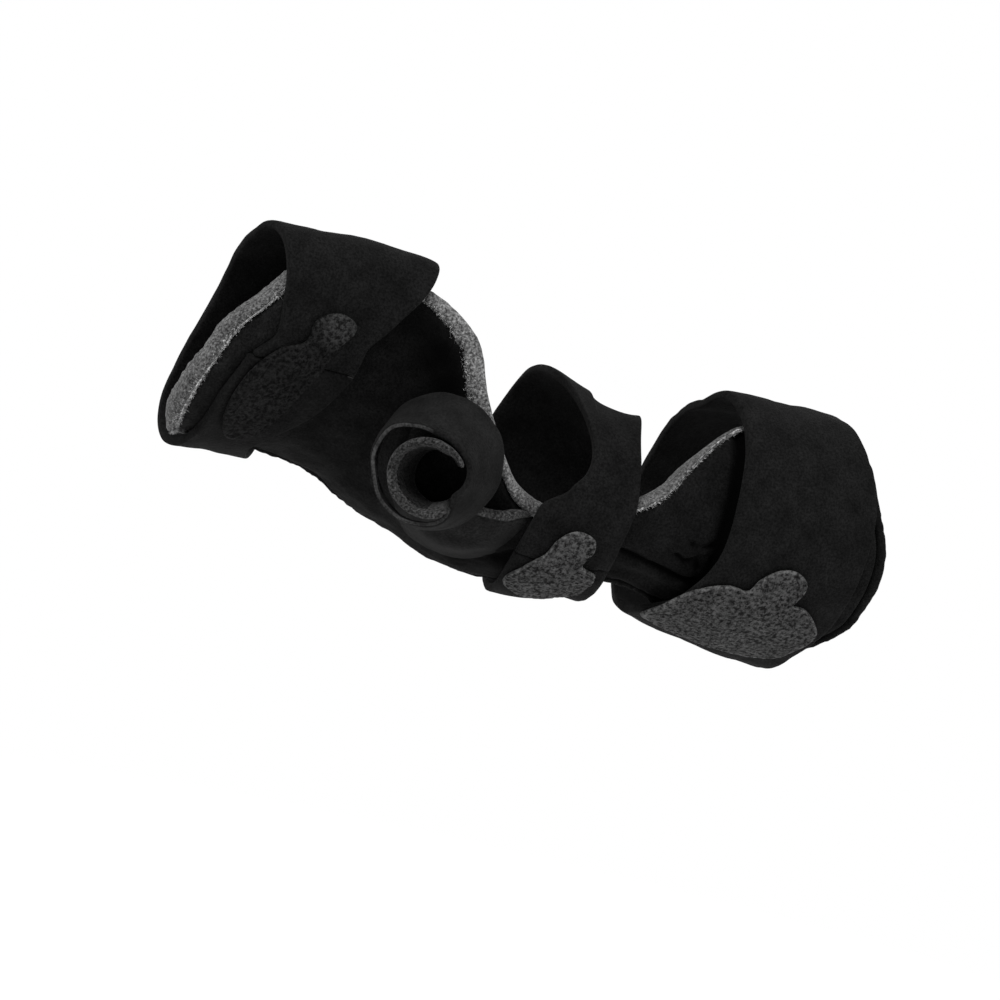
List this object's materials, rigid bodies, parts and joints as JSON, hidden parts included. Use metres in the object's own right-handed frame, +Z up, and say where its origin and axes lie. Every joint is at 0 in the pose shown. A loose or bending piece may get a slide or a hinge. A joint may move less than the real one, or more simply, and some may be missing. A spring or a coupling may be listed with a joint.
{
  "type": "palm and thumb splint",
  "caption": "Padded splint for a right hand: a trough under the forearm, palm and fingers, held by wrap straps with grip tabs, and a ringed channel for the thumb.",
  "frame": {"origin": "middle of the wrist's hollow, where the arm holds the splint up", "axes": "+X along the forearm towards the elbow, +Z up as worn, with the palm facing forward (-Y) and down"},
  "size_m": [0.2892, 0.1249, 0.1389],
  "materials": {
    "body_cloth": "matte brushed loop cloth",
    "strap_cloth": "matte brushed loop cloth",
    "lining_terry": "matte speckled terry",
    "tab_cloth": "matte rough grip cloth"
  },
  "bodies": {
    "root": {"splint_body": "body_cloth", "body_lining": "lining_terry", "finger_strap": "strap_cloth", "finger_tab": "tab_cloth", "wrist_strap": "strap_cloth", "wrist_tab": "tab_cloth", "forearm_strap": "strap_cloth", "forearm_tab": "tab_cloth", "thumb_trough": "body_cloth", "thumb_lining": "lining_terry", "thumb_strap": "strap_cloth"}
  },
  "joints": []
}
